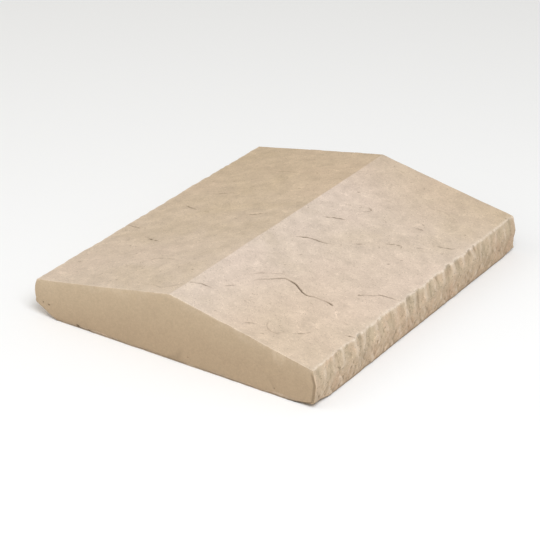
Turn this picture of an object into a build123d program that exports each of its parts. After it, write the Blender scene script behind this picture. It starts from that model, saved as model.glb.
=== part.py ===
"""Peaked wall cap: one block of cast stone that tops a garden wall.

The top falls both ways from a central ridge. The two ends are smooth, as they left the
mould, and the two long sides are dressed to look pitched with a chisel.
Millimetres. +Z is up, the ridge runs along Y, and the origin is the middle of the bed.
"""

import os
from dataclasses import dataclass
from math import hypot, radians, tan
from random import Random

from build123d import *


@dataclass(frozen=True)
class MarkRow:
    """A row of chisel marks along one arris. A pair of numbers is the least and the most."""

    pitch: float  # mean spacing along the side
    radius: tuple  # of the tool's round nose
    bite: tuple  # depth at the arris
    run: tuple  # length of the track, from the arris to where it leaves the side
    up: int  # 1 where the marks rise from the arris, -1 where they hang from it


@dataclass(frozen=True)
class Mark:
    """One chisel mark: the straight track of the tool's round nose."""

    y: float  # where it bites the arris
    radius: float
    bite: float
    run: float
    lean: float  # degrees along the side


@dataclass(frozen=True)
class LongSide:
    """One of the two chiselled sides, which has chance marks of its own."""

    sign: int  # of X
    seed: int
    weight: float  # of the chisel's blows: 1 takes the full bite


@dataclass(frozen=True)
class Spall:
    """A bed corner knocked off by one flat break."""

    side: int  # sign of X
    end: int  # sign of Y
    along_end: float
    along_side: float
    height: float


# The block
WIDTH = 410.0  # across the ridge, over the fullest part of the chiselled sides
LENGTH = 495.0  # along the ridge, between the cast ends
EAVE_HEIGHT = 50.0  # bed to eave arris
RIDGE_HEIGHT = 88.0  # bed to ridge
END_ARRIS_BREAK = 0.8  # chamfer that the mould leaves round each end

# The long side, seen from the end: it leans out a little and turns in at a shoulder
FOOT_INSET = 2.5  # bed arris, in from the fullest width
SHOULDER_HEIGHT = 32.0  # where the side is fullest
EAVE_INSET = 4.5  # eave arris, in from the fullest width

# Chisel marks, each the straight track of a round-nosed tool that leans into the side
EAVE_MARKS = MarkRow(pitch=24.0, radius=(32.0, 50.0), bite=(1.1, 2.4), run=(18.0, 32.0), up=-1)
BED_MARKS = MarkRow(pitch=38.0, radius=(60.0, 95.0), bite=(0.1, 0.5), run=(8.0, 16.0), up=1)
MARK_WANDER = 0.30  # how far a mark strays from even spacing, as a share of the pitch
MARK_LEAN = 14.0  # degrees that a mark may lean along the side
NOSE_FACETS = 28  # flats round the tool
TOOL_REACH = 60.0  # how far the tool's track runs each way from the arris
LONG_SIDES = (
    LongSide(sign=1, seed=11, weight=1.0),
    LongSide(sign=-1, seed=23, weight=0.4),
)

CORNER_SPALLS = (
    Spall(side=-1, end=-1, along_end=33.0, along_side=85.0, height=17.0),
    Spall(side=1, end=-1, along_end=37.0, along_side=38.0, height=6.5),
    Spall(side=1, end=1, along_end=12.0, along_side=20.0, height=4.5),
    Spall(side=-1, end=1, along_end=18.0, along_side=60.0, height=9.0),
)

# Corners of the +X half of the section, as (x, z)
foot = (WIDTH / 2 - FOOT_INSET, 0)
shoulder = (WIDTH / 2, SHOULDER_HEIGHT)
eave = (WIDTH / 2 - EAVE_INSET, EAVE_HEIGHT)
ridge = (0, RIDGE_HEIGHT)


def chisel_marks(row, weight, chance):
    """The marks of a row, near enough evenly spaced along Y."""
    count = max(1, round(LENGTH / row.pitch))
    for i in range(count):
        stray = chance.uniform(-MARK_WANDER, MARK_WANDER)
        yield Mark(
            y=((i + 0.5 + stray) / count - 0.5) * LENGTH,
            lean=chance.uniform(-MARK_LEAN, MARK_LEAN),
            radius=chance.uniform(*row.radius),
            bite=chance.uniform(*row.bite) * weight,
            run=chance.uniform(*row.run),
        )


def tool_plane(sign, arris, up, mark):
    """Plane square to the tool's path, centred on the tool.

    The path starts bite deep at the arris and leaves the side, at its fullest, after run.
    A leaning tool reaches further across the side, on the level, than its radius.
    """
    x, z = arris
    outward = (WIDTH / 2 - x + mark.bite) / mark.run
    reach = mark.radius * hypot(1, outward)
    path = Vector(sign * outward, tan(radians(mark.lean)), up)
    return Plane(origin=(sign * (x - mark.bite + reach), mark.y, z), z_dir=path)


def spall_plane(spall):
    """Plane through the three ends of a corner break, facing out of the block."""
    x = spall.side * foot[0]
    y = spall.end * LENGTH / 2
    facing = Vector(
        spall.side / spall.along_end,
        spall.end / spall.along_side,
        -1 / spall.height,
    )
    return Plane(origin=(x, y, spall.height), z_dir=facing)


with BuildPart() as wall_cap:
    with BuildSketch(Plane.XZ):
        with BuildLine():
            Line(foot, shoulder)
            TangentArc(shoulder, eave, tangent=(0, 1))
            Line(eave, ridge)
            mirror(about=Plane.YZ)
            Line((-foot[0], 0), foot)
        make_face()
    extrude(amount=LENGTH / 2, both=True)
    ends = wall_cap.faces().filter_by(Axis.Y)
    chamfer(ends.edges(), END_ARRIS_BREAK)

    for side in LONG_SIDES:
        chance = Random(side.seed)
        for arris, row in ((eave, EAVE_MARKS), (foot, BED_MARKS)):
            for mark in chisel_marks(row, side.weight, chance):
                with BuildSketch(tool_plane(side.sign, arris, row.up, mark)):
                    RegularPolygon(mark.radius, NOSE_FACETS)
    extrude(amount=TOOL_REACH, both=True, mode=Mode.SUBTRACT)

    for spall in CORNER_SPALLS:
        with Locations(spall_plane(spall)):
            Box(
                WIDTH,
                LENGTH,
                RIDGE_HEIGHT,
                align=(Align.CENTER, Align.CENTER, Align.MIN),
                mode=Mode.SUBTRACT,
            )

wall_cap.part.label = "wall_cap"

os.makedirs("parts", exist_ok=True)
export_step(wall_cap.part, "parts/wall_cap.step")
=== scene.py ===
"""Peaked wall cap of cast stone: the block, its stone and its stage.

The block is one closed shell of fine quads laid over the frame's solid. NumPy then carves it
like the real stone: a riven top with clefts, smooth cast ends with blowholes, chiselled long
sides and a plain bed. Lengths are in metres, but the places and sizes of single marks are in
millimetres.
"""

import math
from dataclasses import dataclass

import bpy
import numpy as np
from bpy.props import FloatProperty, FloatVectorProperty, IntProperty, PointerProperty
from mathutils import Matrix, Vector
from mathutils.bvhtree import BVHTree


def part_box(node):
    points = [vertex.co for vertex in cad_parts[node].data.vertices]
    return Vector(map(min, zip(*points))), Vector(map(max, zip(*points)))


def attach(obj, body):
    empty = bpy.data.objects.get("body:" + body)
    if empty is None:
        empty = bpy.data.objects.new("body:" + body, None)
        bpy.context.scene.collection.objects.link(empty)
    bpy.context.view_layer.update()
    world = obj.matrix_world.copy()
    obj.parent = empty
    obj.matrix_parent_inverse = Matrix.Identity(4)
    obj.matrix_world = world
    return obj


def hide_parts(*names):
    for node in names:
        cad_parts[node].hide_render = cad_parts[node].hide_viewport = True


bl_info = {
    "name": "Peaked wall cap",
    "version": (1, 0, 0),
    "blender": (4, 5, 0),
    "location": "View3D > Sidebar > Wall cap",
    "description": "Carves the cast-stone wall cap and sets its stage",
    "category": "Object",
}

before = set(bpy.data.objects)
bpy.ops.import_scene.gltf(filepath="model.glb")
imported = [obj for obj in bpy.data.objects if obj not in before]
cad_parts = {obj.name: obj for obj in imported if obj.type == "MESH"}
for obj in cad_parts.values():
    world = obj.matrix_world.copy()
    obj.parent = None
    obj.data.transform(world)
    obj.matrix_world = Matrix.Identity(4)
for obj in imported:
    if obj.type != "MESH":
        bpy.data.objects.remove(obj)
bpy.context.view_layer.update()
_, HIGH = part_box("wall_cap")
HALF_WIDTH = HIGH.x
HALF_LENGTH = HIGH.y
MM = 0.001


# ---------------------------------------------------------------------------
# Sizes and colours that a user would change
# ---------------------------------------------------------------------------


def length(name, description, default):
    """A length property in metres, from its value in millimetres."""
    return FloatProperty(
        name=name,
        description=description,
        default=default * MM,
        min=0.0,
        unit="LENGTH",
        precision=5,
    )


def colour(name, description, default):
    """A linear RGB colour property."""
    return FloatVectorProperty(
        name=name,
        description=description,
        default=default,
        size=3,
        min=0.0,
        soft_max=1.0,
        subtype="COLOR",
    )


class CapCarving(bpy.types.PropertyGroup):
    """How deep and how fine the stone is carved."""

    spacing: length("Spacing", "Side of the quads that the block is carved from", 0.85)
    faces: IntProperty(
        name="Faces",
        description="Triangles left once flat stretches are thinned out",
        default=190000,
        min=20000,
        max=199000,
    )
    seed: IntProperty(name="Seed", description="Chooses the chance marks", default=7)
    swell: length("Swell", "Broad rise and fall of the riven top", 0.5)
    leaf: length("Leaf", "Thickness of the leaves broken off the riven top", 0.42)
    tooth: length("Tooth", "Fine tooth of the riven top", 0.09)
    pits: IntProperty(name="Pits", description="Small pits in the riven top", default=60)
    nicks: IntProperty(name="Nicks", description="Short cracks in the riven top", default=55)
    hackle: length("Hackle", "Broken relief on the chiselled sides", 0.55)
    chips: IntProperty(name="Chips", description="Chips along each eave", default=40)
    pocks: IntProperty(name="Pocks", description="Small holes in each chiselled side", default=170)
    ridge_wear: length("Ridge wear", "Half the width that the ridge is worn over", 0.2)
    arris_wear: length("Arris wear", "Radius that the upper edges are worn to", 1.0)
    bed_wear: length("Bed wear", "Radius that the edges round the bed are worn to", 1.8)


class CapColours(bpy.types.PropertyGroup):
    """The colours of the stone, as linear RGB."""

    top: colour("Top", "Riven top", (0.650, 0.538, 0.445))
    top_warm: colour("Warm patches", "Pinker patches of the top", (0.676, 0.552, 0.463))
    top_cool: colour("Cool patches", "Duller patches of the top", (0.629, 0.519, 0.412))
    # painted shade: the darker, yellower tone of the top on the -X slope and towards the far end
    top_shaded: colour("Top in painted shade", "Top where it is yellowest", (0.578, 0.450, 0.314))
    end: colour("End", "Smooth cast ends", (0.560, 0.436, 0.297))
    # painted shade: the darker tone of the ends down by the bed and towards +X
    end_shaded: colour("End in painted shade", "Cast ends down by the bed", (0.440, 0.325, 0.212))
    side: colour("Side", "Chiselled sides", (0.592, 0.466, 0.334))
    # painted shade: the darker tone of the sides down by the bed and towards the far end
    side_shaded: colour("Side in painted shade", "Chiselled sides down by the bed", (0.515, 0.382, 0.260))
    # partly painted shade: the chisel's hollows darker by about a tenth, with an olive tint of
    # their own
    scar_tint_and_shade: colour("Scar tint and shade", "Hollows that the chisel left", (0.535, 0.428, 0.298))
    bed: colour("Bed", "Underside", (0.520, 0.430, 0.320))
    # partly painted shade: clefts, creases, pits, blowholes, the ends' sunk margin and a contact
    # shadow along the foot; also dirt in the clefts
    dirt_and_shade: colour("Dirt and shade", "What lies in clefts and pits", (0.120, 0.085, 0.050))
    # partly painted highlight: pale rims along the upper arrises and on the sides' ribs; also
    # fresh stone where an end's foot is broken
    fresh_and_highlight: colour("Fresh and highlight", "Pale stone where edges are rubbed or broken", (0.830, 0.715, 0.590))


class CapStage(bpy.types.PropertyGroup):
    """Floor, lights and camera."""

    floor: colour("Floor", "Colour of the floor", (0.92, 0.92, 0.92))
    key: FloatProperty(
        name="Key", description="Power of the main light", default=83.0, unit="POWER"
    )
    fill: FloatProperty(
        name="Fill", description="Power of the light from the left", default=18.0, unit="POWER"
    )
    key_tone: colour("Key tone", "Colour of the main light", (0.97, 1.0, 1.05))
    sky: FloatProperty(name="Sky", description="Strength of the even light", default=0.52)
    sky_tone: colour("Sky tone", "Colour of the even light", (1.0, 0.98, 0.93))
    azimuth: FloatProperty(
        name="Azimuth",
        description="Camera's way round from the near end",
        default=math.radians(32.82),
        subtype="ANGLE",
    )
    elevation: FloatProperty(
        name="Elevation",
        description="Camera's height above the horizon",
        default=math.radians(27.04),
        subtype="ANGLE",
    )
    roll: FloatProperty(
        name="Roll", description="Camera's tilt", default=math.radians(0.81), subtype="ANGLE"
    )
    distance: FloatProperty(
        name="Distance", description="Camera to target", default=2.656, unit="LENGTH"
    )
    lens: FloatProperty(
        name="Lens", description="Focal length", default=137.9, unit="CAMERA"
    )


# ---------------------------------------------------------------------------
# Chance fields
# ---------------------------------------------------------------------------

LATTICE = 128  # knots a side in the random lattice that a field repeats after


def ease(t):
    """Smooth step of a share from 0 to 1."""
    t = np.clip(t, 0, 1)
    return t * t * (3 - 2 * t)


def cloud(a, b, size, seed):
    """Smooth chance field from -1 to 1 over points (a, b), with lumps about size across."""
    chance = np.random.RandomState(seed)
    turn = chance.uniform(0, math.pi)
    shift = chance.uniform(0, LATTICE, 2)
    knots = chance.uniform(-1, 1, (LATTICE, LATTICE))
    p = (a * math.cos(turn) - b * math.sin(turn)) / size + shift[0]
    q = (a * math.sin(turn) + b * math.cos(turn)) / size + shift[1]
    i, j = np.floor(p).astype(int), np.floor(q).astype(int)
    s, t = ease(p - i), ease(q - j)
    i, j = i % LATTICE, j % LATTICE
    i_next, j_next = (i + 1) % LATTICE, (j + 1) % LATTICE
    near = knots[i, j] * (1 - s) + knots[i_next, j] * s
    far = knots[i, j_next] * (1 - s) + knots[i_next, j_next] * s
    return near * (1 - t) + far * t


def rubble(a, b, size, seed, octaves=4):
    """Clouds on clouds, each half as large and half as strong, from about -1 to 1."""
    total = sum(
        cloud(a, b, size * 0.5**n, seed + 31 * n) * 0.5**n for n in range(octaves)
    )
    return total / 1.4


def soften(field, cells, along=(0, 1)):
    """A field blurred over a number of cells, along the given axes."""
    reach = max(1, int(3 * cells))  # the weights are next to nothing three widths out
    weights = np.exp(-0.5 * (np.arange(-reach, reach + 1) / cells) ** 2)
    weights /= weights.sum()
    for axis in along:
        pad = [(reach, reach) if n == axis else (0, 0) for n in (0, 1)]
        wide = np.pad(field, pad, mode="edge")
        field = sum(
            w * np.take(wide, range(n, n + field.shape[axis]), axis)
            for n, w in enumerate(weights)
        )
    return field


# ---------------------------------------------------------------------------
# Clefts of the riven top
# ---------------------------------------------------------------------------


@dataclass(frozen=True)
class Cleft:
    """A crack where a leaf of stone lifted off. Its points are in plan, in millimetres."""

    points: tuple
    depth: float  # of the groove, mm
    step: float = 0.35  # how far the stone stands up on its left, mm
    opens: tuple = ()  # how open it is, at even steps along it; if empty it tapers both ways


CLEFTS = (
    Cleft(((-65, -225), (-35, -228), (-20, -230), (0, -212)), 0.2, 0.2),
    Cleft(((0, -208), (12, -200), (25, -197)), 1.1, 0.3),
    Cleft(((34, -183), (42, -172)), 0.5, 0.2),
    Cleft(
        (
            (50, -145),
            (72, -117),
            (85, -113),
            (99, -118),
            (110, -124),
            (115, -123),
            (131, -118),
            (147, -118),
        ),
        1.7,
        0.6,
        (0.15, 0.35, 0.85, 1.0, 0.9, 0.6, 0.5, 0.95),
    ),
    Cleft(((32, -146), (52, -122), (74, -102)), 0.2, 0.4),
    Cleft(
        ((155, -77), (165, -66), (175, -54), (186, -49), (199, -46)),
        1.4,
        0.45,
        (0.7, 0.8, 0.7, 0.8, 0.15),
    ),
    Cleft(((27, -26), (42, -13), (59, -7), (74, 0)), 1.1, 0.4),
    Cleft(((30, 45), (50, 59), (63, 63)), 1.0, 0.4),
    Cleft(((32, 95), (42, 100)), 0.5, 0.3),
    Cleft(((57, 112), (65, 107), (59, 97)), 0.9, 0.3),
    Cleft(((116, 176), (135, 181), (151, 175)), 0.5, 0.3),
    Cleft(((127, 116), (137, 119)), 0.9, 0.3),
    Cleft(((90, 20), (101, 29)), 0.6, 0.3),
    Cleft(((119, 53), (134, 63), (137, 58)), 0.8, 0.3),
    Cleft(((163, 97), (174, 103), (187, 113)), 0.7, 0.3),
    Cleft(((150, 75), (157, 82)), 0.4, 0.2),
    Cleft(((92, -229), (104, -218)), 0.6, 0.3),
    Cleft(((110, -204), (117, -216), (129, -218), (134, -210)), 0.15, 0.35),
    Cleft(((145, -202), (154, -191), (158, -183)), 0.6, 0.3),
    Cleft(((187, -158), (193, -157), (200, -155)), 0.7, 0.3),
    Cleft(((-199, -63), (-175, -68)), 0.8, 0.3),
    Cleft(((-150, -92), (-138, -97), (-122, -101)), 1.0, 0.35),
    Cleft(((-165, 18), (-140, 8)), 0.7, 0.3),
    Cleft(((-62, 3), (-50, 9), (-34, 14)), 0.7, 0.3),
    Cleft(((-120, 150), (-105, 158), (-80, 160)), 0.6, 0.3),
    Cleft(((-150, 60), (-130, 72), (-118, 70)), 0.5, 0.3),
    Cleft(((-95, -160), (-80, -150), (-55, -152)), 0.4, 0.25),
)
GROOVE = 0.72  # half width of a groove, mm
LIP = 8.0  # how far the stone beside a cleft takes to come level again, mm
LIP_RISE = 1.4  # height that a lip is carved to, in steps of its cleft
STRAY = 1.3  # how far a cleft wanders off its smooth line, mm
STRIDE = 0.6  # from one point of a cleft's line to the next, mm
TIP = 0.03  # share of a cleft's length in which it closes at each end


def smooth_line(points, step):
    """Points a step apart on a smooth curve through a few given ones."""
    p = np.array(points, float)
    p = np.vstack([2 * p[0] - p[1], p, 2 * p[-1] - p[-2]])
    line = []
    for a, b, c, d in zip(p, p[1:], p[2:], p[3:]):
        count = max(2, int(np.hypot(*(c - b)) / step))
        for t in np.arange(count) / count:
            bend = 2 * a - 5 * b + 4 * c - d
            twist = 3 * b - a - 3 * c + d
            line.append(0.5 * (2 * b + (c - a) * t + bend * t**2 + twist * t**3))
    line.append(p[-2])
    return np.array(line)


def cut_cleft(x, y, cleft, seed):
    """Height in mm, and darkness from 0 to 1, that one cleft gives points of the top in mm. The
    darkness is partly dirt and partly painted shade.
    """
    line = smooth_line(cleft.points, STRIDE)
    passed = np.arange(len(line)) * STRIDE
    line[:, 0] += STRAY * rubble(passed, passed * 0, 9.0, seed, 3)
    line[:, 1] += STRAY * rubble(passed, passed * 0, 8.0, seed + 1, 3)
    low, high = line.min(0) - 2 * LIP, line.max(0) + 2 * LIP
    beside = (x > low[0]) & (x < high[0]) & (y > low[1]) & (y < high[1])
    spots = np.stack([x[beside], y[beside]], -1)
    nearest = np.zeros(len(spots), int)
    gap = np.full(len(spots), np.inf)
    for n, knot in enumerate(line):
        away = np.hypot(*(spots - knot).T)
        nearest[away < gap] = n
        gap = np.minimum(gap, away)
    along = np.gradient(line, axis=0)[nearest]
    off = spots - line[nearest]
    left = np.sign(along[:, 0] * off[:, 1] - along[:, 1] * off[:, 0])
    share = nearest / (len(line) - 1)
    taper = np.sin(math.pi * np.clip(share, TIP, 1 - TIP)) ** 0.5
    if cleft.opens:
        ends = ease(share / TIP) * ease((1 - share) / TIP)
        taper = ends * np.interp(share, np.linspace(0, 1, len(cleft.opens)), cleft.opens)
    patchy = 0.8 + 0.6 * cloud(share * 9, share * 0, 1.0, seed + 2)
    groove = np.exp(-((gap / GROOVE) ** 2)) * taper * patchy
    lip = np.exp(-((gap / LIP) ** 2) * 2.5) * np.clip(left * gap / GROOVE, -0.4, 1) * taper
    height = np.zeros_like(x)
    dark = np.zeros_like(x)
    height[beside] = LIP_RISE * cleft.step * lip - cleft.depth * groove
    # partly painted shade: the groove darker the deeper the cleft, with dirt in it
    dark[beside] = np.clip(groove * (0.4 + 0.6 * cleft.depth), 0, 1)
    return height, dark


def chance_nick(chance, x_reach, y_reach):
    """A short, shallow, curved crack at a chance place on the top."""
    x, y = chance.uniform(-x_reach, x_reach), chance.uniform(-y_reach, y_reach)
    heading, bend = chance.uniform(-0.4, 1.4), chance.uniform(-0.6, 0.6)
    stride = chance.uniform(2.0, 6.5)
    points = [(x, y)]
    for _ in range(3):
        x, y = x + stride * math.cos(heading), y + stride * math.sin(heading)
        heading += bend
        points.append((x, y))
    depth, step = chance.uniform(0.1, 0.4), chance.uniform(0.1, 0.35)
    return Cleft(tuple(points), depth, step, opens=(0.1, 0.4, 1.0))


# ---------------------------------------------------------------------------
# Relief of each face, in metres
# ---------------------------------------------------------------------------


def riven_relief(x, y, carving):
    """Height in metres, and darkness from 0 to 1, of points of the top. x and y are in mm. The
    darkness is painted shade in pits and clefts, with dirt in the clefts.
    """
    seed = carving.seed
    swell = rubble(x, y, 120.0, seed + 100, 3) * carving.swell

    # Leaves: the level counts them, and drops by a steep edge only where they are torn
    level = 2.6 * rubble(x * 0.8, y, 85.0, seed + 200, 4)
    leaf = np.floor(level)
    stepped = leaf + ease((level - leaf - 0.5) / 0.09)
    torn = ease(0.5 + 2.2 * cloud(x, y, 45.0, seed + 300))
    leaves = (stepped * torn + level * (1 - torn)) * carving.leaf
    tooth = rubble(x, y, 11.0, seed + 400, 3) * carving.tooth
    height = swell + leaves + tooth

    # Pits, which are oval and darkened with painted shade, then the clefts and nicks
    dark = np.zeros_like(x)
    chance = np.random.RandomState(seed + 500)
    for _ in range(carving.pits):
        px, py = chance.uniform(x.min(), x.max()), chance.uniform(y.min(), y.max())
        radius, depth = chance.uniform(0.5, 1.3), chance.uniform(0.15, 0.7)
        stretch, turn = chance.uniform(0.5, 1.0), chance.uniform(0, math.pi)
        a = (x - px) * math.cos(turn) + (y - py) * math.sin(turn)
        b = (y - py) * math.cos(turn) - (x - px) * math.sin(turn)
        pit = np.exp(-((a * stretch / radius) ** 2) - (b / radius) ** 2)
        height -= pit * depth * MM
        # painted shade: each pit darker by its depth
        dark = np.maximum(dark, pit * depth)
    nicks = [chance_nick(chance, x.max(), y.max()) for _ in range(carving.nicks)]
    for n, cleft in enumerate((*CLEFTS, *nicks)):
        cut, shade = cut_cleft(x, y, cleft, seed + 600 + 5 * n)
        height += cut * MM
        dark = np.maximum(dark, shade)
    return height, dark


FACETS = 260  # flat breaks on each chiselled side
TILT = 0.16  # most that a break leans, in depths of hackle per mm
FLATTEN = 1.2  # how much wider than high the breaks are


def chiselled_relief(y, z, side, carving):
    """Depth into a long side, in metres. y and z are grids in mm; z is from the bed."""
    seed = carving.seed + 1000 + (side > 0) * 500
    eave = z.max()
    chance = np.random.RandomState(seed)
    keen = 0.3 + 0.9 * ease(1.3 - 1.7 * z / eave)  # calm by the eave, broken by the bed

    # Flat breaks: each point belongs to the nearest centre, by a warped distance
    centres = np.stack(
        [chance.uniform(y.min(), y.max(), FACETS), chance.uniform(0, eave, FACETS)], -1
    )
    tilts = chance.uniform(-TILT, TILT, (FACETS, 2))
    offsets = chance.uniform(-0.5, 0.5, FACETS)
    which = np.zeros(y.shape, int)
    gap = np.full(y.shape, np.inf)
    warp = 2.5 * cloud(y, z, 9.0, seed + 1)
    for n, (cy, cz) in enumerate(centres):
        away = np.hypot(y - cy, (z - cz) * FLATTEN) + warp
        which[away < gap] = n
        gap = np.minimum(gap, away)
    off_y, off_z = y - centres[which, 0], z - centres[which, 1]
    facets = offsets[which] + tilts[which, 0] * off_y + tilts[which, 1] * off_z
    facets = soften(facets, 0.8) * keen
    rough = rubble(y, z, 12.0, seed + 2, 5) * keen
    depth = (facets + rough) * carving.hackle * ease(z / 5.0)

    # Chips out of the eave, then pocks
    down = eave - z
    for _ in range(carving.chips):
        cy = chance.uniform(y.min(), y.max())
        width, fall = chance.uniform(3.0, 8.0), chance.uniform(3.0, 10.0)
        bite = chance.uniform(0.2, 0.6)
        skew = chance.uniform(-0.5, 0.5)
        bowl = 1 - ((y - cy - skew * down) / width) ** 2 - (down / fall) ** 2
        depth += np.clip(bowl, 0, 1) * bite * MM
    for _ in range(carving.pocks):
        cy, cz = chance.uniform(y.min(), y.max()), 0.75 * eave * chance.uniform(0.08, 1)
        away = np.hypot(y - cy, z - cz) / chance.uniform(0.7, 1.9)
        depth += np.exp(-(away**2)) * chance.uniform(0.25, 0.9) * MM
    return depth


@dataclass(frozen=True)
class Blowhole:
    """A bubble left open in a cast end, or a small bite out of its foot.

    Its place is in mm from the middle of the bed edge.
    """

    x: float
    z: float
    radius: float


BLOWHOLES = {  # by the sign of the end's Y
    -1: (
        Blowhole(-183, 19, 1.1),
        Blowhole(-194, 11, 1.3),
        Blowhole(-192, 20, 0.9),
        Blowhole(26, 11, 0.8),
        Blowhole(-139, 2.5, 2.2),
        Blowhole(-122, 1.5, 1.4),
        Blowhole(148, 9, 0.7),
    ),
    1: (Blowhole(-120, 24, 1.2), Blowhole(60, 41, 0.9), Blowhole(152, 12, 1.1)),
}
FACET_TOP = 9.0  # width of the dressed facet beside the -X side at the eave, mm
FACET_FOOT = 32.0  # and at the bed
FACET_RISE = 50.0  # height that its edge takes to lean from one width to the other, mm
DRAFT = 5.5  # width of the sunk margin beside the +X side, mm
DRAFT_TOP = 46.0  # height at which the margin has run out, mm


def cast_relief(x, z, inset, end, carving):
    """Depth into a cast end in metres, its darkness (painted shade in the blowholes and painted
    shadow in the sunk margin), and where its foot is broken ragged.

    x and z are in mm, z from the bed, and inset is how far a point is from the nearer side.
    """
    seed = carving.seed + 3000 + (end > 0) * 500

    # Faint waves of the mould, and the blowholes
    depth = rubble(x, z, 70.0, seed, 2) * 0.16 * MM
    dark = np.zeros_like(x)
    for hole in BLOWHOLES[end]:
        spot = np.exp(-((np.hypot(x - hole.x, z - hole.z) / hole.radius) ** 4))
        depth += spot * 1.5 * MM
        # painted shade: each blowhole darkened
        dark = np.maximum(dark, spot)

    # The dressed facet, which slopes back towards the -X side and is rougher than the mould
    rough = rubble(x, z, 9.0, seed + 1, 4)
    share = np.clip(z / FACET_RISE, 0, 1)
    facet = FACET_FOOT + (FACET_TOP - FACET_FOOT) * share
    in_facet = facet - (x - x.min()) + 1.5 * rough
    depth += ease(in_facet / 16.0) * (0.2 + 0.03 * np.clip(in_facet, 0, 30)) * MM
    depth += ease(in_facet / 9.0) * rough * 0.35 * MM

    # The sunk margin, which keeps clear of the very arris, and the ragged foot
    draft = ease((DRAFT - inset + 0.5 * rough) / 1.2) * ease((inset - 1.0) / 1.2)
    draft *= ease((DRAFT_TOP - z) / 6) * (x > 0)
    depth += draft * 0.9 * MM
    ragged = ease((4.5 + 2.5 * rubble(x, z, 40.0, seed + 2, 3) - z) / 3.0)
    depth += ragged * (0.5 + 0.6 * rough) * MM
    # painted shadow: the sunk margin darkened as well as sunk
    return depth, np.clip(np.maximum(dark, 0.42 * draft), 0, 1), ragged


# ---------------------------------------------------------------------------
# The block's shell
# ---------------------------------------------------------------------------

FACES = ("side", "side", "end", "end", "bed", "top")  # zone of each sheet, in shell order
SHARP = math.radians(50)  # edges that turn further than this shade as sharp
RIDGE_STRIP = 5 * MM  # how far down each slope the strip beside the ridge goes


def box_shell(counts):
    """Lattice corners, quads and the sheet of each quad, for a box of cells, corners shared."""
    quads, sheets = [], []
    for axis in range(3):
        across, up = (axis + 1) % 3, (axis + 2) % 3
        a, b = np.meshgrid(
            np.arange(counts[across] + 1), np.arange(counts[up] + 1), indexing="ij"
        )
        for side, at in enumerate((0, counts[axis])):
            spot = [None, None, None]
            spot[axis], spot[across], spot[up] = np.full(a.shape, at), a, b
            key = np.ravel_multi_index(spot, [n + 1 for n in counts])
            loop = [key[:-1, :-1], key[1:, :-1], key[1:, 1:], key[:-1, 1:]]
            if side == 0:
                loop.reverse()
            quads.append(np.stack(loop, -1).reshape(-1, 4))
            sheets.append(np.full(len(quads[-1]), 2 * axis + side))
    keys, quads = np.unique(np.concatenate(quads), return_inverse=True)
    corners = np.stack(np.unravel_index(keys, [n + 1 for n in counts]), -1)
    return corners, quads.reshape(-1, 4), np.concatenate(sheets)


class Solid:
    """The frame's solid, measured by rays."""

    def __init__(self, obj):
        mesh = obj.data
        points = [v.co.copy() for v in mesh.vertices]
        polygons = [tuple(p.vertices) for p in mesh.polygons]
        self.tree = BVHTree.FromPolygons(points, polygons)
        out = HALF_WIDTH * 0.7  # on the slope, clear of the marks along the eave
        self.fall = (self.height(0.0) - self.height(out)) / out
        self.eave = HIGH.z - self.fall * HALF_WIDTH

    def height(self, x):
        """Height of the roof at x, halfway along the ridge."""
        return self.tree.ray_cast(Vector((x, 0, 1)), Vector((0, 0, -1)))[0].z

    def reach(self, side, y, z):
        """How far the solid reaches on one long side, at (y, z)."""
        hit = self.tree.ray_cast(Vector((side, y, z)), Vector((-side, 0, 0)))[0]
        return abs(hit.x)


def carve_sides(solid, ys, zs, carving):
    """Tables of the -X and +X sides over (y, z): reach, painted shade in the creases, painted
    highlight on the ribs, and the hollows, tinted and darkened with painted shade.

    Widths of softening are in cells.
    """
    end_gap, edge_gap = 1.5 * MM, 0.3 * MM  # rays stay this far inside the solid's edges
    ray_y = np.clip(ys, end_gap - HALF_LENGTH, HALF_LENGTH - end_gap)
    ray_z = np.clip(zs, edge_gap, zs[-1] - edge_gap)
    y, z = np.meshgrid(ys / MM, zs / MM, indexing="ij")
    tables = []
    for side in (-1, 1):
        solid_reach = np.array([[solid.reach(side, a, b) for b in ray_z] for a in ray_y])

        # The solid's chisel marks, worn unevenly and most down by the bed
        blunt = soften(solid_reach, 9.0, along=(0,))
        keen = 0.35 + 0.65 * ease(z / 10.0)
        keen *= 0.8 + 0.35 * cloud(y, z, 28.0, carving.seed + 9)
        reach = blunt + (soften(solid_reach, 1.4) - blunt) * keen
        reach -= chiselled_relief(y, z, side, carving)

        # Painted highlight on what stands out of the stone around it, and painted shade in what is
        # sunk in it
        crisp, close = soften(reach, 0.8), soften(reach, 4.0, along=(0,))
        broad = soften(reach, 13.0, along=(0,))
        rib_highlight = np.clip((crisp - close) / (0.18 * MM), 0, 1)
        crease_shade = np.clip((close - crisp) / (0.5 * MM) - 0.15, 0, 0.4)
        # the chisel's hollows: an olive tint of their own, and darker by painted shade
        hollow_tint_and_shade = np.clip((broad - soften(reach, 2.0)) / (0.7 * MM) + 0.35, 0, 1)
        hollow_tint_and_shade *= ease(z / z.max() * 2.6 - 0.9)
        tables.append(np.stack([reach, crease_shade, 0.4 * rib_highlight, hollow_tint_and_shade]))
    return np.stack(tables, 1)


def wear_arris(depth_a, depth_b, radius):
    """Depths of points below two faces, once the arris between them is worn to a radius."""
    near = (depth_a < radius) & (depth_b < radius)
    a, b = radius - depth_a, radius - depth_b
    away = np.hypot(a, b)
    shrink = np.where(near & (away > radius), radius / np.maximum(away, 1e-9), 1.0)
    return radius - a * shrink, radius - b * shrink


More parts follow.
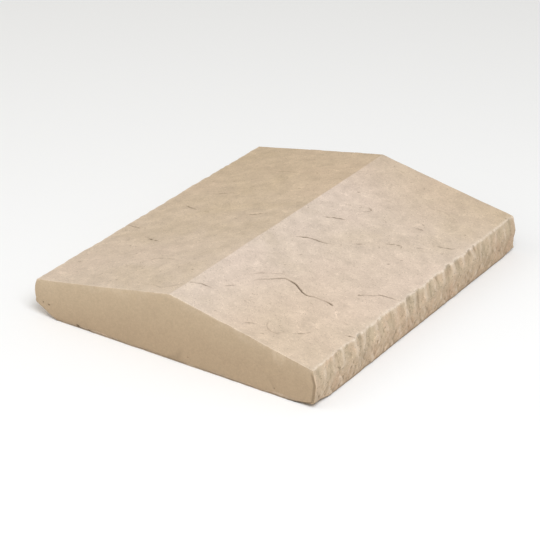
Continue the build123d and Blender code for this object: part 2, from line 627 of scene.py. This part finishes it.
def wear_block(top, end, side, bed, worn, bed_worn):
    """Depths of points below the top, end, side and bed, once every arris is worn."""
    top, end = wear_arris(top, end, worn)
    top, side = wear_arris(top, side, worn)
    end, side = wear_arris(end, side, worn)
    bed, end = wear_arris(bed, end, bed_worn)
    bed, side = wear_arris(bed, side, bed_worn)
    return top, end, side, bed


def painted_shade_top(x, y):
    """How far the top is painted in shade: least beside the ridge on +X, and most at the far end.
    """
    across, along = x / HALF_WIDTH, y / HALF_LENGTH
    left = 0.4 + 0.65 * ease(0.5 + 0.5 * along)
    right = (0.25 + 0.35 * ease(-along)) * ease(1.6 * across) + 0.55 * ease(1.5 * along - 0.5)
    return np.clip(np.where(x < 0, left, right), 0, 1)


def painted_shade_face(x, y, share, on_side):
    """How far a side or an end is painted in shade: down by the bed, and away from the near -X
    corner.
    """
    along = np.where(on_side, 0.25 * ease(y / HALF_LENGTH), 0.3 + 0.3 * x / HALF_WIDTH)
    return np.clip(1 - share + along, 0, 1)


def carve_block(carving):
    """Vertices, quads, the sheet of each quad, and the masks of each vertex by name."""
    solid = Solid(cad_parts["wall_cap"])
    nx, ny, nz = counts = [
        round(size / carving.spacing) for size in (2 * HALF_WIDTH, 2 * HALF_LENGTH, solid.eave)
    ]
    corners, quads, sheets = box_shell(counts)
    i, j, k = corners.T
    u, v, w = 2 * i / nx - 1, 2 * j / ny - 1, k / nz
    right = (u >= 0).astype(int)
    ys = np.linspace(-1, 1, ny + 1) * HALF_LENGTH
    sides = carve_sides(solid, ys, np.linspace(0, solid.eave, nz + 1), carving)

    def roof(x):
        blunt = carving.ridge_wear
        return HIGH.z - solid.fall * (np.sqrt(x * x + blunt * blunt) - blunt * 0.5)

    eave_x = sides[0][right, j, nz]
    z = w * roof(u * eave_x)
    level = np.clip(z / roof(eave_x), 0, 1) * nz
    below = np.clip(np.floor(level).astype(int), 0, nz - 1)
    part = level - below
    side_x, crease_shade, rib_highlight, hollow_tint_and_shade = sides[:, right, j, below] * (1 - part) + (
        sides[:, right, j, below + 1] * part
    )
    x, y = u * side_x, v * HALF_LENGTH

    # Depths below each face, then the arrises worn round
    top, end, side = roof(x) - z, HALF_LENGTH - np.abs(y), side_x - np.abs(x)
    patchy = 1.0 + 0.6 * rubble(x / MM, (y + z) / MM, 14.0, carving.seed + 5, 3)
    new_top, new_end, new_side, new_bed = wear_block(
        top, end, side, z, carving.arris_wear * patchy, carving.bed_wear * patchy
    )
    z = new_bed - (new_top - top)
    y -= np.sign(y) * (new_end - end)
    x -= np.sign(u) * (new_side - side)

    # Relief of the top and the ends, and the masks of dirt, fresh stone, painted shade and painted
    # highlight
    on_side, on_top, on_bed = (i == 0) | (i == nx), k == nz, k == 0
    # painted shade in the sides' creases, and painted highlight on their ribs
    dirt_and_shade, fresh_and_highlight = np.where(on_side, crease_shade, 0), np.where(on_side, rib_highlight, 0)
    broken = np.zeros(len(corners))
    height, shade = riven_relief(x[on_top] / MM, y[on_top] / MM, carving)
    z[on_top] += height
    dirt_and_shade[on_top] = np.maximum(dirt_and_shade[on_top], shade)
    for sign, at in ((-1, 0), (1, ny)):
        on_end = j == at
        depth, shade, broken[on_end] = cast_relief(
            x[on_end] / MM, z[on_end] / MM, side[on_end] / MM, sign, carving
        )
        y[on_end] -= sign * depth
        dirt_and_shade[on_end] = np.maximum(dirt_and_shade[on_end], shade)
    z[on_bed] = np.maximum(z[on_bed], 0)
    eave_highlight, end_highlight, foot = 1.8 * MM, 1.3 * MM, 2.5 * MM  # how far the painted highlights on the rims and the painted contact shadow at the foot spread
    # painted highlight: pale rims along the eave and along the ends' upper arrises
    rim_highlight = 1.3 * np.exp(-((np.hypot(top, side) / eave_highlight) ** 2))
    rim_highlight += 0.45 * np.exp(-((np.hypot(top, end) / end_highlight) ** 2))
    fresh_and_highlight = np.clip(np.maximum(fresh_and_highlight, rim_highlight * (0.9 + 0.5 * (patchy - 1))), 0, 1)
    # fresh stone where the foot of an end is broken ragged
    fresh_and_highlight = np.maximum(fresh_and_highlight, 0.3 * broken)
    # painted contact shadow: a dark line along the foot of the ends and sides
    contact_shadow = np.exp(-((z / foot) ** 2)) * (1.0 + 0.5 * (patchy - 1) / 0.6)
    dirt_and_shade = np.where(on_bed, dirt_and_shade, np.maximum(dirt_and_shade, contact_shadow))
    masks = {
        "dirt_and_shade": dirt_and_shade,
        "fresh_and_highlight": fresh_and_highlight,
        "hollow_tint_and_shade": np.where(on_side, hollow_tint_and_shade, 0),
        "painted_shade": np.where(on_top, painted_shade_top(x, y), painted_shade_face(x, y, z / roof(x), on_side)),
    }
    points = np.stack([x, y, z], -1)
    sheets = np.where(broken[quads].mean(1) > 0.5, FACES.index("side"), sheets)
    return points, quads, sheets, masks


def keep_ridge_crisp(mesh):
    """Marks the edges between the two slopes sharp, so that the slopes shade apart.

    On -X the foot of the strip beside the ridge is marked as well, where it is too flat to show.
    """
    centres = np.empty(3 * len(mesh.polygons), np.float32)
    mesh.polygons.foreach_get("center", centres)
    x, _, z = centres.reshape(-1, 3).T
    beside_ridge = z > HIGH.z - RIDGE_STRIP
    slope = np.where(beside_ridge, np.sign(x), 1)
    corners = np.empty(len(mesh.polygons), np.int32)
    mesh.polygons.foreach_get("loop_total", corners)
    edges = np.empty(len(mesh.loops), np.int32)
    mesh.loops.foreach_get("edge_index", edges)
    sharp = np.empty(len(mesh.edges), bool)
    mesh.edges.foreach_get("use_edge_sharp", sharp)
    sharp |= np.bincount(edges, np.repeat(slope, corners), len(mesh.edges)) == 0
    mesh.edges.foreach_set("use_edge_sharp", sharp)


def build_block(carving):
    """The carved block as an object, thinned out where it is flat."""
    points, quads, sheets, masks = carve_block(carving)
    mesh = bpy.data.meshes.new("wall_cap_stone")
    mesh.vertices.add(len(points))
    mesh.vertices.foreach_set("co", points.astype(np.float32).ravel())
    mesh.loops.add(quads.size)
    mesh.loops.foreach_set("vertex_index", quads.astype(np.int32).ravel())
    mesh.polygons.add(len(quads))
    mesh.polygons.foreach_set("loop_start", np.arange(0, quads.size, 4, dtype=np.int32))
    zones = list(dict.fromkeys(FACES))
    zone_of_sheet = np.array([zones.index(name) for name in FACES], np.int32)
    mesh.polygons.foreach_set("material_index", zone_of_sheet[sheets])
    for name, values in masks.items():
        mask = mesh.attributes.new(name, "FLOAT", "POINT")
        mask.data.foreach_set("value", values.astype(np.float32))
    mesh.update(calc_edges=True)
    mesh.validate()
    block = bpy.data.objects.new("wall_cap_stone", mesh)
    bpy.context.scene.collection.objects.link(block)
    thin = block.modifiers.new("Thin out", "DECIMATE")
    thin.ratio = carving.faces / (2 * len(quads))
    depsgraph = bpy.context.evaluated_depsgraph_get()
    thinned = bpy.data.meshes.new_from_object(block.evaluated_get(depsgraph))
    block.modifiers.clear()
    block.data = thinned
    bpy.data.meshes.remove(mesh)
    thinned.name = "wall_cap_stone"
    thinned.shade_smooth()
    thinned.set_sharp_from_angle(angle=SHARP)
    keep_ridge_crisp(thinned)
    return block, zones


# ---------------------------------------------------------------------------
# Shared effects, as node groups
# ---------------------------------------------------------------------------


def add(tree, kind, inputs=None, **settings):
    """A node with its settings, and its inputs set or linked by name or number."""
    made = tree.nodes.new(kind)
    for name, value in settings.items():
        setattr(made, name, value)
    for name, value in (inputs or {}).items():
        if isinstance(value, bpy.types.NodeSocket):
            tree.links.new(value, made.inputs[name])
        else:
            made.inputs[name].default_value = value
    return made


def new_group(name, takes, gives):
    """A node group with its sockets, and its input and output nodes."""
    tree = bpy.data.node_groups.new(name, "ShaderNodeTree")
    for label, kind, default in takes:
        socket = tree.interface.new_socket(label, in_out="INPUT", socket_type=kind)
        socket.default_value = default
    for label, kind in gives:
        tree.interface.new_socket(label, in_out="OUTPUT", socket_type=kind)
    return tree, add(tree, "NodeGroupInput"), add(tree, "NodeGroupOutput")


def mix_colours(tree, share, first, second, blend="MIX"):
    """The colour output of a Mix node."""
    inputs = {0: share, 6: first, 7: second}  # by number, as names repeat for each data type
    return add(tree, "ShaderNodeMix", inputs, data_type="RGBA", blend_type=blend).outputs[2]


def math_node(tree, operation, first, second=0.0, clamp=False):
    """The output of a Math node."""
    inputs = {0: first, 1: second}
    return add(tree, "ShaderNodeMath", inputs, operation=operation, use_clamp=clamp).outputs[0]


def ranged(tree, value, low, high, to_low=0.0, to_high=1.0):
    """A value read between low and high, and spread over another range."""
    inputs = {0: value, 1: low, 2: high, 3: to_low, 4: to_high}
    return add(tree, "ShaderNodeMapRange", inputs).outputs[0]


def grey(tree, value):
    """A grey of the given lightness."""
    return add(tree, "ShaderNodeCombineColor", {0: value, 1: value, 2: value}).outputs[0]


def noise(tree, place, scale, detail=3.0, roughness=0.5, distortion=0.0):
    """The value of a Noise node."""
    inputs = {
        "Vector": place,
        "Scale": scale,
        "Detail": detail,
        "Roughness": roughness,
        "Distortion": distortion,
    }
    return add(tree, "ShaderNodeTexNoise", inputs).outputs["Fac"]


FLOAT, COLOUR = "NodeSocketFloat", "NodeSocketColor"
WHITE = (1.0, 1.0, 1.0, 1.0)


def mottle_group():
    """Drifts between tones of one stone, from hand-wide patches to small flecks."""
    tree, source, sink = new_group(
        "Stone mottle",
        (
            ("Tone", COLOUR, WHITE),
            ("Warm", COLOUR, WHITE),
            ("Cool", COLOUR, WHITE),
            ("Patch Size", FLOAT, 0.09),
            ("Strength", FLOAT, 1.0),
            ("Dabs", FLOAT, 0.0),
            ("Flecks", FLOAT, 1.0),
            ("Painted Shade Color", COLOUR, WHITE),
            ("Scar Tint And Shade Color", COLOUR, WHITE),
            ("Scar Tint And Shade Strength", FLOAT, 0.0),
        ),
        (("Color", COLOUR),),
    )
    place = add(tree, "ShaderNodeTexCoord").outputs["Object"]
    painted_shade = add(tree, "ShaderNodeAttribute", attribute_name="painted_shade").outputs["Fac"]
    hollow_tint_and_shade = add(tree, "ShaderNodeAttribute", attribute_name="hollow_tint_and_shade").outputs["Fac"]
    hollow_tint_and_shade = math_node(tree, "MULTIPLY", hollow_tint_and_shade, source.outputs["Scar Tint And Shade Strength"], clamp=True)
    # painted shade: each face darkens towards its shaded tone by the painted-shade mask
    tone = mix_colours(tree, painted_shade, source.outputs["Tone"], source.outputs["Painted Shade Color"])
    # partly painted shade: a darker, olive tone in the chisel's hollows
    tone = mix_colours(tree, hollow_tint_and_shade, tone, source.outputs["Scar Tint And Shade Color"])

    # Patches that read warmer or cooler
    scale = math_node(tree, "DIVIDE", 1.0, source.outputs["Patch Size"])
    patches = noise(tree, place, scale, 4.0, 0.58, 0.3)
    warm = ranged(tree, patches, 0.5, 0.66)
    cool = ranged(tree, patches, 0.5, 0.34)
    strength = source.outputs["Strength"]
    for share, label in ((warm, "Warm"), (cool, "Cool")):
        share = math_node(tree, "MULTIPLY", share, strength, clamp=True)
        tinted = mix_colours(tree, 1.0, tone, source.outputs[label], "MULTIPLY")
        tone = mix_colours(tree, share, tone, tinted)

    # Finger-wide light and dark, and small paler dabs
    flecks = ranged(tree, noise(tree, place, 55.0, 5.0, 0.6), 0.3, 0.7, -0.08, 0.08)
    lift = math_node(tree, "MULTIPLY", flecks, source.outputs["Flecks"])
    dabs = ranged(tree, noise(tree, place, 60.0, 7.0, 0.72, 0.6), 0.58, 0.72)
    dabs = math_node(tree, "MULTIPLY", dabs, source.outputs["Dabs"])
    lift = math_node(tree, "ADD", lift, dabs)
    lift = math_node(tree, "ADD", lift, 1.0)
    tone = mix_colours(tree, 1.0, tone, grey(tree, lift), "MULTIPLY")
    tree.links.new(tone, sink.inputs["Color"])
    return tree


def sand_group():
    """The sand in the stone: a fine height, and tiny grains that read darker or paler."""
    tree, source, sink = new_group(
        "Sand grain",
        (("Grain Size", FLOAT, 0.0012), ("Color", COLOUR, WHITE), ("Speckle", FLOAT, 0.5)),
        (("Color", COLOUR), ("Height", FLOAT)),
    )
    place = add(tree, "ShaderNodeTexCoord").outputs["Object"]
    scale = math_node(tree, "DIVIDE", 1.0, source.outputs["Grain Size"])
    fine = noise(tree, place, scale, 2.0, 0.6)
    coarse = noise(tree, place, math_node(tree, "MULTIPLY", scale, 0.42), 3.0, 0.6)
    height = math_node(tree, "ADD", fine, math_node(tree, "MULTIPLY", coarse, 1.6))
    tree.links.new(height, sink.inputs["Height"])

    # Single grains: each has a chance colour, and the few that it picks read darker or paler
    cells = math_node(tree, "MULTIPLY", scale, 0.8)
    grains = add(tree, "ShaderNodeTexVoronoi", {"Vector": place, "Scale": cells})
    pick = add(tree, "ShaderNodeSeparateColor", {0: grains.outputs["Color"]})
    centre = ranged(tree, grains.outputs["Distance"], 0.5, 0.25)
    dark = math_node(tree, "MULTIPLY", ranged(tree, pick.outputs[0], 0.90, 0.94), centre)
    pale = math_node(tree, "MULTIPLY", ranged(tree, pick.outputs[1], 0.82, 0.90), centre)
    speckle = source.outputs["Speckle"]
    shade = math_node(tree, "MULTIPLY", dark, speckle)
    shade = math_node(tree, "SUBTRACT", 1.0, math_node(tree, "MULTIPLY", shade, 0.45))
    shine = math_node(tree, "MULTIPLY", math_node(tree, "MULTIPLY", pale, speckle), 0.30)
    lift = math_node(tree, "ADD", shade, shine)
    drift = ranged(tree, coarse, 0.25, 0.75, 0.91, 1.09)
    lift = math_node(tree, "MULTIPLY", lift, drift)
    tone = mix_colours(tree, 1.0, source.outputs["Color"], grey(tree, lift), "MULTIPLY")
    tree.links.new(tone, sink.inputs["Color"])
    return tree


def weather_and_light_group():
    """Dirt and painted shade in clefts, creases, holes and along the foot; pale fresh stone where
    it is broken, and painted highlights where it is rubbed.
    """
    tree, source, sink = new_group(
        "Weathering and painted light",
        (
            ("Color", COLOUR, WHITE),
            ("Dirt And Shade Color", COLOUR, WHITE),
            ("Dirt and shade", FLOAT, 0.8),
            ("Fresh And Highlight Color", COLOUR, WHITE),
            ("Fresh and highlight", FLOAT, 0.4),
        ),
        (("Color", COLOUR),),
    )
    # dirt in the clefts, and painted shade in creases, pits and holes and as a contact shadow
    # along the foot
    dirt_and_shade = add(tree, "ShaderNodeAttribute", attribute_name="dirt_and_shade").outputs["Fac"]
    dirt_and_shade = math_node(tree, "MULTIPLY", dirt_and_shade, source.outputs["Dirt and shade"], clamp=True)
    place = add(tree, "ShaderNodeTexCoord").outputs["Object"]
    broken = ranged(tree, noise(tree, place, 160.0, 3.0), 0.30, 0.6)
    # fresh stone, and painted highlights on the rubbed rims and the ribs
    fresh_and_highlight = add(tree, "ShaderNodeAttribute", attribute_name="fresh_and_highlight").outputs["Fac"]
    fresh_and_highlight = math_node(tree, "MULTIPLY", fresh_and_highlight, broken)
    fresh_and_highlight = math_node(tree, "MULTIPLY", fresh_and_highlight, source.outputs["Fresh and highlight"], clamp=True)
    tone = mix_colours(tree, fresh_and_highlight, source.outputs["Color"], source.outputs["Fresh And Highlight Color"])
    tone = mix_colours(tree, dirt_and_shade, tone, source.outputs["Dirt And Shade Color"])
    tree.links.new(tone, sink.inputs["Color"])
    return tree


# ---------------------------------------------------------------------------
# The stone's four finishes
# ---------------------------------------------------------------------------


def rgba(tone):
    """A colour with alpha."""
    return (*tone, 1.0)


@dataclass(frozen=True)
class Look:
    """How one finish of the stone looks. Sizes are in metres."""

    patch: float  # size of the patches of tone
    mottle: float  # how strongly they show
    dabs: float  # how much paler the small dabs are
    flecks: float  # how strongly finger-wide light and dark show
    grain: float  # size of the sand grains
    speckle: float  # how strongly single dark and pale grains show
    bump: float  # height of the grain
    roughness: tuple  # down in the grain and up on it
    dirt_and_shade: float = 0.9  # how strongly the dirt and painted shade show
    fresh_and_highlight: float = 0.6  # and the fresh stone with its painted highlights
    scar_tint_and_shade_strength: float = 0.0  # and the chisel's hollows, tinted and darkened with painted shade


def tint(tone, base):
    """What turns the base colour into another tone when it multiplies it."""
    return tuple(a / b for a, b in zip(tone, base)) + (1.0,)


def stone_finish(name, groups, colours, tones, look, painted_shade):
    """One finish of the stone, in a main, a warmer and a cooler tone, and the tone of its painted
    shade.
    """
    material = bpy.data.materials.new(name)
    material.use_nodes = True
    tree = material.node_tree
    tree.nodes.clear()

    def place(group, inputs):
        return add(tree, "ShaderNodeGroup", inputs, node_tree=groups[group]).outputs

    mottle = place(
        "mottle",
        {
            "Tone": rgba(tones[0]),
            "Warm": tint(tones[1], tones[0]),
            "Cool": tint(tones[2], tones[0]),
            "Patch Size": look.patch,
            "Strength": look.mottle,
            "Dabs": look.dabs,
            "Flecks": look.flecks,
            "Painted Shade Color": rgba(painted_shade),
            "Scar Tint And Shade Color": rgba(colours.scar_tint_and_shade),
            "Scar Tint And Shade Strength": look.scar_tint_and_shade_strength,
        },
    )
    sand = place(
        "sand", {"Color": mottle["Color"], "Grain Size": look.grain, "Speckle": look.speckle}
    )
    weather_and_light = place(
        "weather_and_light",
        {
            "Color": sand["Color"],
            "Dirt And Shade Color": rgba(colours.dirt_and_shade),
            "Dirt and shade": look.dirt_and_shade,
            "Fresh And Highlight Color": rgba(colours.fresh_and_highlight),
            "Fresh and highlight": look.fresh_and_highlight,
        },
    )
    rise = {"Height": sand["Height"], "Strength": 1.0, "Distance": look.bump}
    bump = add(tree, "ShaderNodeBump", rise)
    shader = add(
        tree,
        "ShaderNodeBsdfPrincipled",
        {
            "Base Color": weather_and_light["Color"],
            "Roughness": ranged(tree, sand["Height"], 0.8, 1.8, *look.roughness),
            "Normal": bump.outputs["Normal"],
            "Specular IOR Level": 0.3,
        },
    )
    sink = add(tree, "ShaderNodeOutputMaterial")
    tree.links.new(shader.outputs[0], sink.inputs["Surface"])
    return material


def riven_stone(groups, colours):
    """The riven top: broad soft patches, pale dabs, fine tooth."""
    tones = (colours.top, colours.top_warm, colours.top_cool)
    look = Look(
        patch=0.115,
        mottle=0.9,
        dabs=0.20,
        flecks=1.2,
        grain=0.0011,
        speckle=0.8,
        bump=0.00018,
        roughness=(0.78, 0.95),
    )
    return stone_finish("riven cast stone", groups, colours, tones, look, colours.top_shaded)


def cast_stone(groups, colours):
    """The cast ends: smoother, and even in tone."""
    tones = [[c * lift for c in colours.end] for lift in (1.0, 1.02, 0.98)]
    look = Look(
        patch=0.08,
        mottle=0.7,
        dabs=0.0,
        flecks=0.25,
        grain=0.0009,
        speckle=0.15,
        bump=0.00006,
        roughness=(0.70, 0.85),
    )
    name = "mould-smooth cast stone"
    return stone_finish(name, groups, colours, tones, look, colours.end_shaded)


def chiselled_stone(groups, colours):
    """The chiselled sides: broken stone, rough and patchy, duller in the tool's hollows, partly by
    painted shade.
    """
    side = colours.side
    warm = (side[0] * 1.05, side[1] * 0.99, side[2] * 0.98)
    cool = (side[0] * 0.95, side[1] * 0.97, side[2] * 0.97)
    look = Look(
        patch=0.03,
        mottle=0.9,
        dabs=0.12,
        flecks=1.3,
        grain=0.0013,
        speckle=1.1,
        bump=0.0006,
        roughness=(0.85, 1.0),
        fresh_and_highlight=0.85,
        scar_tint_and_shade_strength=0.8,
    )
    name, tones = "chiselled cast stone", (side, warm, cool)
    return stone_finish(name, groups, colours, tones, look, colours.side_shaded)


def bed_stone(groups, colours):
    """The bed: screeded flat, dull and a little dirty."""
    tones = [[c * lift for c in colours.bed] for lift in (1.0, 1.06, 0.9)]
    look = Look(
        patch=0.05,
        mottle=1.0,
        dabs=0.05,
        flecks=0.8,
        grain=0.0016,
        speckle=0.5,
        bump=0.0005,
        roughness=(0.88, 1.0),
    )
    return stone_finish("bed of cast stone", groups, colours, tones, look, tones[2])


# ---------------------------------------------------------------------------
# Operators
# ---------------------------------------------------------------------------


class CAP_OT_block(bpy.types.Operator):
    """Carve the block of stone and give each face its finish"""

    bl_idname = "wall_cap.block"
    bl_label = "Carve block"

    def execute(self, context):
        block, zones = build_block(context.scene.cap_carving)
        colours = context.scene.cap_colours
        groups = {"mottle": mottle_group(), "sand": sand_group(), "weather_and_light": weather_and_light_group()}
        finishes = {
            "top": riven_stone,
            "end": cast_stone,
            "side": chiselled_stone,
            "bed": bed_stone,
        }
        for zone in zones:
            block.data.materials.append(finishes[zone](groups, colours))
        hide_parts("wall_cap")
        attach(block, "root")
        return {"FINISHED"}


FLOOR_REACH = 15.0  # half the side of the floor, m
AIM = Vector((-0.0195, 0.0, 0.0105))  # what the camera looks at


def face_towards(obj, azimuth, elevation, distance, target, roll=0.0):
    """Places obj at a bearing from target, looking at it. Azimuth 0 looks along +Y."""
    back = Vector(
        (
            math.sin(azimuth) * math.cos(elevation),
            -math.cos(azimuth) * math.cos(elevation),
            math.sin(elevation),
        )
    )
    turn = (-back).to_track_quat("-Z", "Y").to_matrix().to_4x4()
    obj.matrix_world = (
        Matrix.Translation(target + back * distance) @ turn @ Matrix.Rotation(roll, 4, "Z")
    )


def add_area_light(name, power, tone, size, azimuth, elevation, distance=3.6):
    """A square soft light aimed at the block. Its azimuth and elevation are in degrees."""
    data = bpy.data.lights.new(name, "AREA")
    data.energy = power
    data.color = tone
    data.size = size
    lamp = bpy.data.objects.new(name, data)
    bpy.context.scene.collection.objects.link(lamp)
    face_towards(lamp, math.radians(azimuth), math.radians(elevation), distance, Vector())


class CAP_OT_stage(bpy.types.Operator):
    """Lay the floor, and set the lights and the camera"""

    bl_idname = "wall_cap.stage"
    bl_label = "Set stage"

    def execute(self, context):
        scene = context.scene
        stage = scene.cap_stage
        mesh = bpy.data.meshes.new("floor")
        around = ((-1, -1), (1, -1), (1, 1), (-1, 1))
        corners = [(x * FLOOR_REACH, y * FLOOR_REACH, 0) for x, y in around]
        mesh.from_pydata(corners, [], [(0, 1, 2, 3)])
        floor = bpy.data.objects.new("floor", mesh)
        scene.collection.objects.link(floor)
        paper = bpy.data.materials.new("pale floor")
        paper.use_nodes = True
        shader = paper.node_tree.nodes["Principled BSDF"]
        shader.inputs["Base Color"].default_value = rgba(stage.floor)
        shader.inputs["Roughness"].default_value = 0.9
        mesh.materials.append(paper)

        world = bpy.data.worlds.new("studio")
        world.use_nodes = True
        backdrop = world.node_tree.nodes["Background"]
        backdrop.inputs["Color"].default_value = rgba(stage.sky_tone)
        backdrop.inputs["Strength"].default_value = stage.sky
        scene.world = world
        add_area_light("key", stage.key, stage.key_tone, size=1.9, azimuth=48.0, elevation=54.0)
        add_area_light("fill", stage.fill, stage.sky_tone, size=2.5, azimuth=-50.0, elevation=40.0)

        data = bpy.data.cameras.new("camera")
        data.lens = stage.lens
        data.sensor_width = 36.0
        data.clip_end = 50.0
        camera = bpy.data.objects.new("camera", data)
        scene.collection.objects.link(camera)
        face_towards(camera, stage.azimuth, stage.elevation, stage.distance, AIM, stage.roll)
        scene.camera = camera
        scene.view_settings.view_transform = "Standard"
        return {"FINISHED"}


class CAP_PT_panel(bpy.types.Panel):
    """Sidebar panel of the wall cap"""

    bl_label = "Wall cap"
    bl_idname = "CAP_PT_panel"
    bl_space_type = "VIEW_3D"
    bl_region_type = "UI"
    bl_category = "Wall cap"

    def draw(self, context):
        scene = context.scene
        for settings, operator in (
            ((scene.cap_carving, scene.cap_colours), CAP_OT_block.bl_idname),
            ((scene.cap_stage,), CAP_OT_stage.bl_idname),
        ):
            box = self.layout.box()
            for group in settings:
                for name in group.__annotations__:
                    box.prop(group, name)
            box.operator(operator)


CLASSES = (CapCarving, CapColours, CapStage, CAP_OT_block, CAP_OT_stage, CAP_PT_panel)


def register():
    for cls in CLASSES:
        bpy.utils.register_class(cls)
    bpy.types.Scene.cap_carving = PointerProperty(type=CapCarving)
    bpy.types.Scene.cap_colours = PointerProperty(type=CapColours)
    bpy.types.Scene.cap_stage = PointerProperty(type=CapStage)


def unregister():
    del bpy.types.Scene.cap_stage
    del bpy.types.Scene.cap_colours
    del bpy.types.Scene.cap_carving
    for cls in reversed(CLASSES):
        bpy.utils.unregister_class(cls)


def main():
    """Builds the scene."""
    register()
    bpy.ops.wall_cap.block()
    bpy.ops.wall_cap.stage()


if __name__ == "__main__":
    main()
